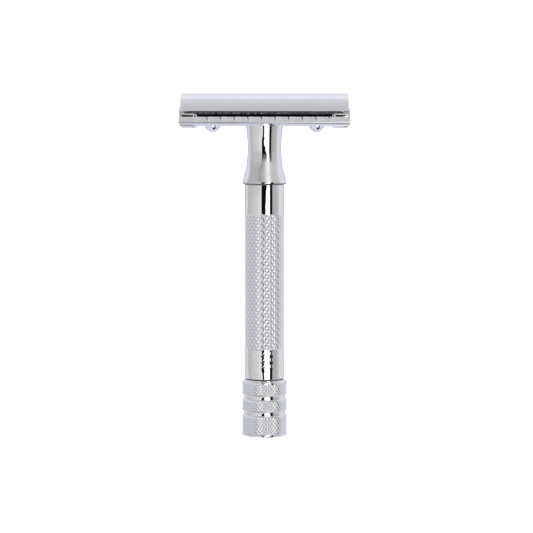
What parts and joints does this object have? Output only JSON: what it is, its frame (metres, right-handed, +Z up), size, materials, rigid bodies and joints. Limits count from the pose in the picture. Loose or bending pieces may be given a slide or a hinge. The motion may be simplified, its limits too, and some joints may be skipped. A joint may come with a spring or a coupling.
{
  "type": "double-edge safety razor",
  "caption": "Chrome-plated double-edge safety razor: two-piece bar head on a waisted neck, knurled handle tube and grooved knob that screws the cap down.",
  "frame": {"origin": "centre of the knob's flat bottom, on the surface the razor stands on", "axes": "+Z up the handle to the cap, +X along the head's length, -Y towards the viewer's safety bar"},
  "size_m": [0.0418, 0.0244, 0.0854],
  "materials": {
    "chrome_plate": "bright chrome plate",
    "blade_steel": "rolled stainless strip with ground edges",
    "stud_steel": "bright turned steel",
    "fastener_steel": "zinc-plated steel",
    "spindle_brass": "turned brass",
    "bush_brass": "turned brass",
    "washer_polymer": "dark low-friction polymer"
  },
  "bodies": {
    "handle": {"handle_tube": "chrome_plate", "neck_collar": "chrome_plate", "base_plate": "chrome_plate", "pin_cup_left": "chrome_plate", "pin_cup_right": "chrome_plate", "upper_bush": "bush_brass", "lower_bush": "bush_brass"},
    "knob_drive": {"knob": "chrome_plate", "knob_end_plug": "chrome_plate", "knob_screw": "fastener_steel", "drive_spindle": "spindle_brass", "friction_washer": "washer_polymer", "thrust_washer": "fastener_steel", "wave_spring_washer": "fastener_steel", "spindle_retaining_ring": "fastener_steel"},
    "cap": {"top_cap": "chrome_plate", "cap_stud": "stud_steel", "locating_pin_left": "stud_steel", "locating_pin_right": "stud_steel"},
    "blade": {"razor_blade": "blade_steel"}
  },
  "joints": [
    {"name": "knob_spin", "type": "hinge", "parent": "handle", "child": "knob_drive", "pos_m": [0, 0, 0], "axis": [0, 0, -1], "range_deg": [0, 5040]},
    {"name": "cap_lift", "type": "slide", "parent": "handle", "child": "cap", "axis": [0, 0, 1], "range_m": [0, 0.0112]},
    {"name": "blade_lift", "type": "slide", "parent": "handle", "child": "blade", "axis": [0, 0, 1], "range_m": [0, 0.0056]}
  ],
  "couplings": [
    {"joint": "cap_lift", "follows": "knob_spin", "m_per_rad": 0.00012732},
    {"joint": "blade_lift", "follows": "knob_spin", "m_per_rad": 0.000063662}
  ]
}
